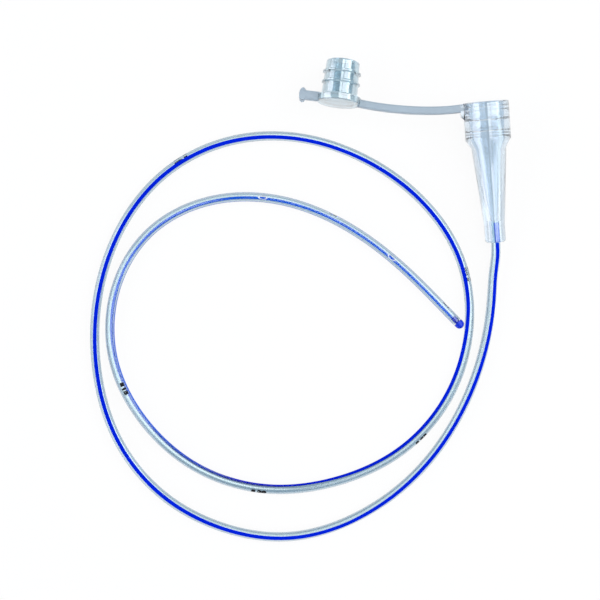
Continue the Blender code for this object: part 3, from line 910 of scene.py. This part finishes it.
def make_floor():
    """A plain white table, bright to the eye, that keeps part of the object's shadow."""
    bpy.ops.mesh.primitive_plane_add(size=FLOOR_SIZE, location=(0.0, 0.0, -FLOOR_DROP))
    floor = bpy.context.object
    floor.name = "floor"
    made = bpy.data.materials.new("white_table")
    made.use_nodes = True
    tree = made.node_tree
    nodes, links = tree.nodes, tree.links
    nodes.clear()
    output = nodes.new("ShaderNodeOutputMaterial")
    diffuse = nodes.new("ShaderNodeBsdfDiffuse")
    diffuse.inputs["Color"].default_value = (*FLOOR_COLOUR, 1.0)
    glow = nodes.new("ShaderNodeEmission")
    glow.inputs["Strength"].default_value = 1.0
    layers = []
    for share in (FLOOR_GLOW_SEEN, FLOOR_GLOW_THROUGH):
        part = nodes.new("ShaderNodeMixShader")
        part.inputs["Fac"].default_value = share
        links.new(diffuse.outputs[0], part.inputs[1])
        links.new(glow.outputs[0], part.inputs[2])
        layers.append(part.outputs[0])
    through = path_mix(tree, ("Is Glossy Ray", "Is Transmission Ray"), layers[1], diffuse.outputs[0])
    links.new(path_mix(tree, ("Is Camera Ray",), layers[0], through), output.inputs["Surface"])
    floor.data.materials.append(made)


def window(tree, value, low, high, soft):
    """One while a value lies between two bounds and nothing outside them, with soft edges."""
    nodes, links = tree.nodes, tree.links
    product = nodes.new("ShaderNodeMath")
    product.operation = "MULTIPLY"
    for place, (edge, before, after) in enumerate(((low, 0.0, 1.0), (high, 1.0, 0.0))):
        step = nodes.new("ShaderNodeMapRange")
        step.interpolation_type = "SMOOTHSTEP"
        bounds = (edge - soft / 2.0, edge + soft / 2.0, before, after)
        for socket, bound in zip(("From Min", "From Max", "To Min", "To Max"), bounds):
            step.inputs[socket].default_value = bound
        links.new(value, step.inputs["Value"])
        links.new(step.outputs["Result"], product.inputs[place])
    return product.outputs[0]


def soft_box(tree, direction, box):
    """The light of one soft box in the sky."""
    left, right, near, far, colour, strength = box
    nodes, links = tree.nodes, tree.links
    level = nodes.new("ShaderNodeValue").outputs[0]
    level.default_value = strength
    for axis, bounds in zip("XYZ", ((left, right), (near, far), ABOVE_HORIZON)):
        product = nodes.new("ShaderNodeMath")
        product.operation = "MULTIPLY"
        links.new(level, product.inputs[0])
        links.new(window(tree, direction.outputs[axis], *bounds, BOX_EDGE), product.inputs[1])
        level = product.outputs[0]
    glow = nodes.new("ShaderNodeBackground")
    glow.inputs["Color"].default_value = (*colour, 1.0)
    links.new(level, glow.inputs["Strength"])
    return glow.outputs[0]


def make_world():
    """Studio light: a dim room with soft boxes, and plain white where the camera sees it."""
    world = bpy.data.worlds.new("studio")
    world.use_nodes = True
    bpy.context.scene.world = world
    tree = world.node_tree
    nodes, links = tree.nodes, tree.links
    nodes.clear()
    output = nodes.new("ShaderNodeOutputWorld")
    place = nodes.new("ShaderNodeTexCoord")
    direction = nodes.new("ShaderNodeSeparateXYZ")
    links.new(place.outputs["Generated"], direction.inputs["Vector"])
    room = nodes.new("ShaderNodeBackground")
    room.inputs["Color"].default_value = (*ROOM_COLOUR, 1.0)
    light = room.outputs[0]
    for box in SOFT_BOXES:
        both = nodes.new("ShaderNodeAddShader")
        links.new(light, both.inputs[0])
        links.new(soft_box(tree, direction, box), both.inputs[1])
        light = both.outputs[0]
    white = nodes.new("ShaderNodeBackground")
    white.inputs["Color"].default_value = (1.0, 1.0, 1.0, 1.0)
    links.new(path_mix(tree, ("Is Camera Ray",), white.outputs[0], light), output.inputs["Surface"])


def make_lamp():
    """A square soft light that points at the middle of the object."""
    data = bpy.data.lights.new("key", "AREA")
    data.size = LAMP_SIZE
    data.energy = LAMP_POWER
    lamp = bpy.data.objects.new("key", data)
    lamp.location = LAMP_PLACE
    aim = Vector(LAMP_AIM) - Vector(LAMP_PLACE)
    lamp.rotation_euler = aim.to_track_quat("-Z", "Y").to_euler()
    bpy.context.scene.collection.objects.link(lamp)


def main():
    """Make the whole scene."""
    bpy.context.scene.view_settings.view_transform = "Standard"
    add_camera()
    line, exit_point = tube_line()
    tube, path = make_tube(line, clear_pvc(), punched_edge())
    blue_line = make_line(line, line_blue())
    marks = make_marks(line, black_ink())
    tip = make_tip(line, tip_blue())
    connector = make_connector(moulded_pvc(), plug_pvc(), matt_pvc())

    pieces = (
        (tube, "clear_pvc_tube", "feeding_tube"),
        (blue_line, "blue_pvc", None),
        (marks, "clear_pvc_tube", None),
        (tip, "blue_pvc", "closed_tip"),
        (connector, "soft_pvc_moulding", "funnel_connector"),
    )
    for piece, slot, node in pieces:
        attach(piece, "root")
        if node:
            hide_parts(node)
    make_floor()
    make_world()
    make_lamp()


main()
